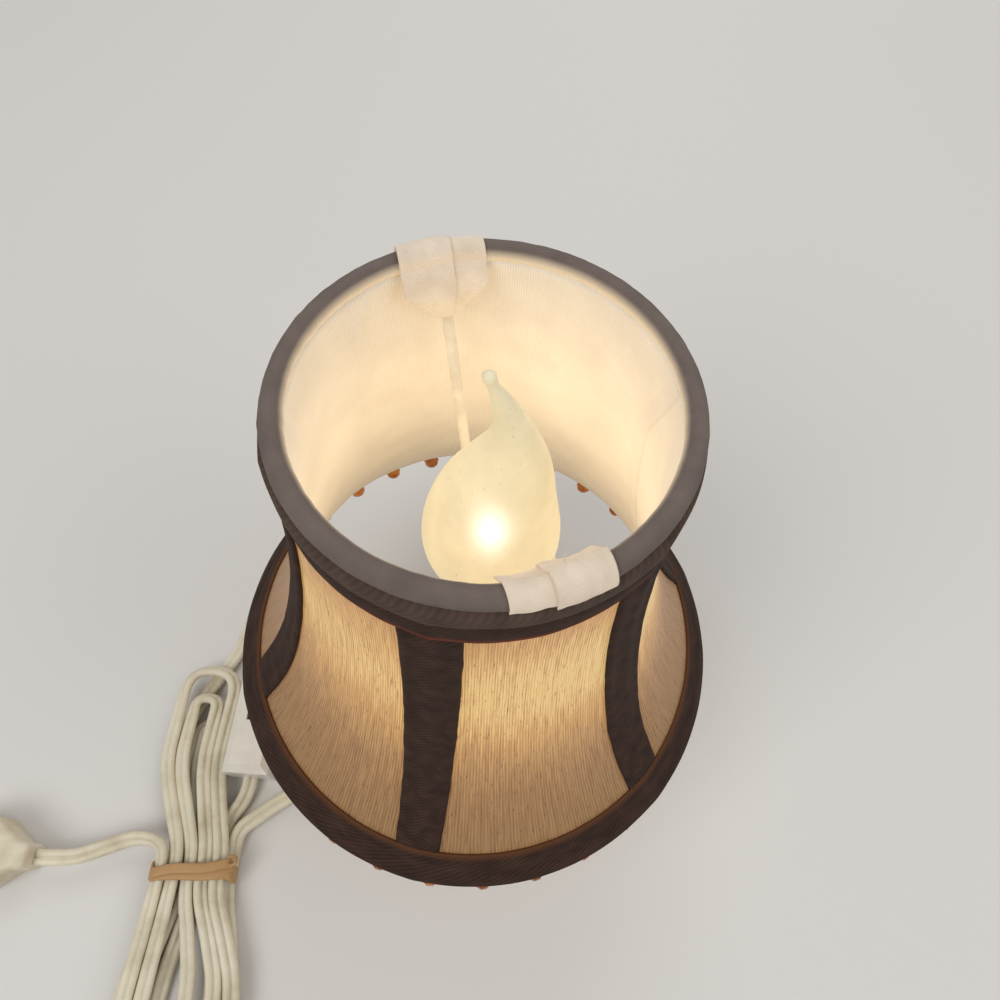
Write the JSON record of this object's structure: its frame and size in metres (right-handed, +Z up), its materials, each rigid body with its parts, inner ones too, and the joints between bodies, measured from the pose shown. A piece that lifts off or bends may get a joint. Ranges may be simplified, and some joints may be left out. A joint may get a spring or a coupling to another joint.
{
  "type": "candle lamp with shade",
  "caption": "Small candle-style table lamp with a clip-on bell shade of silk panels and bead fringe, a bent-tip bulb, and a tied lead with a roller switch.",
  "frame": {"origin": "centre of the foot's underside, on the table", "axes": "+Z up along the candle and the bulb, -Y to the front, so the lead lies front left"},
  "size_m": [0.2725, 0.2602, 0.2044],
  "materials": {
    "shade_silk": "slub silk, lit from inside",
    "brown_trim": "woven tape, matt",
    "white_lining": "smooth lining cloth, lit from inside",
    "shade_wire": "white enamel",
    "amber_beads": "clear amber",
    "bead_thread": "twisted thread",
    "clip_wire": "white coating",
    "white_tape": "woven cotton tape",
    "frosted_glass": "frosted, warm glow",
    "clear_glass": "clear",
    "hot_filament": "glowing wire",
    "bulb_brass": "satin",
    "black_glass": "glossy",
    "candle_ivory": "wax-like sheen",
    "socket_black": "matt",
    "plated_steel": "zinc plate",
    "base_brass": "aged, satin",
    "cast_weight": "rough cast",
    "felt": "felt",
    "ivory_lead": "soft vinyl",
    "tan_rubber": "natural rubber",
    "white_switch": "moulded",
    "ivory_plug": "moulded vinyl",
    "contact_brass": "bright"
  },
  "bodies": {
    "base": {"base_shell": "base_brass", "felt_pad": "felt", "base_weight": "cast_weight", "lamp_pipe": "plated_steel", "pipe_washer": "plated_steel", "pipe_nuts": "plated_steel", "candle_cup": "base_brass", "drip_pan": "base_brass", "sleeve_seat": "base_brass", "socket_body": "socket_black", "socket_shell": "bulb_brass", "socket_contact": "bulb_brass", "socket_bracket": "plated_steel", "inner_lead": "ivory_lead", "cord_grommet": "ivory_lead", "cord_lead": "ivory_lead", "cord_hank": "ivory_lead", "cord_tie": "tan_rubber", "switch_tray": "white_switch", "switch_cover": "white_switch", "switch_leaves": "contact_brass", "switch_screw": "plated_steel", "roller_pin": "plated_steel", "plug_body": "ivory_plug", "plug_blades": "contact_brass"},
    "bulb_contact": {"bulb_contact": "bulb_brass"},
    "bulb": {"bulb_glass": "frosted_glass", "bulb_stem": "clear_glass", "bulb_filament": "hot_filament", "bulb_screw_cap": "bulb_brass", "bulb_insulator": "black_glass"},
    "shade_clip": {"bulb_clip": "clip_wire", "clip_tape_rear": "white_tape", "clip_tape_front": "white_tape"},
    "shade": {"top_ring": "shade_wire", "bottom_ring": "shade_wire", "shade_ribs": "shade_wire", "lining_roll": "white_lining", "lining": "white_lining", "panel_1": "shade_silk", "panel_2": "shade_silk", "panel_3": "shade_silk", "panel_4": "shade_silk", "panel_5": "shade_silk", "panel_6": "shade_silk", "rib_trim_1": "brown_trim", "rib_trim_2": "brown_trim", "rib_trim_3": "brown_trim", "rib_trim_4": "brown_trim", "rib_trim_5": "brown_trim", "rib_trim_6": "brown_trim", "top_band": "brown_trim", "bottom_band": "brown_trim", "fringe_beads": "amber_beads", "fringe_threads": "bead_thread"},
    "candle_sleeve": {"candle_sleeve": "candle_ivory"},
    "switch_roller": {"switch_roller": "white_switch"}
  },
  "joints": [
    {"name": "bulb_rise", "type": "slide", "parent": "base", "child": "bulb_contact", "axis": [0, 0, 1], "range_m": [0, 0.01144]},
    {"name": "bulb_turn", "type": "hinge", "parent": "bulb_contact", "child": "bulb", "pos_m": [0, 0, 0.121], "axis": [0, 0, 1], "range_deg": [0, 1620]},
    {"name": "shade_lift", "type": "slide", "parent": "bulb", "child": "shade_clip", "axis": [0, 0, 1], "range_m": [0, 0.15]},
    {"name": "shade_tilt", "type": "hinge", "parent": "shade_clip", "child": "shade", "pos_m": [-0.0025, 0, 0.198], "axis": [-0.2924, 0.9563, 0], "range_deg": [-4, 4]},
    {"name": "sleeve_lift", "type": "slide", "parent": "base", "child": "candle_sleeve", "axis": [0, 0, 1], "range_m": [0, 0.006]},
    {"name": "roller_spin", "type": "hinge", "parent": "base", "child": "switch_roller", "pos_m": [-0.085, -0.0165, 0.0124], "axis": [1, 0, 0], "continuous": true}
  ],
  "couplings": [
    {"joint": "bulb_rise", "follows": "bulb_turn", "m_per_rad": 0.00040425}
  ]
}
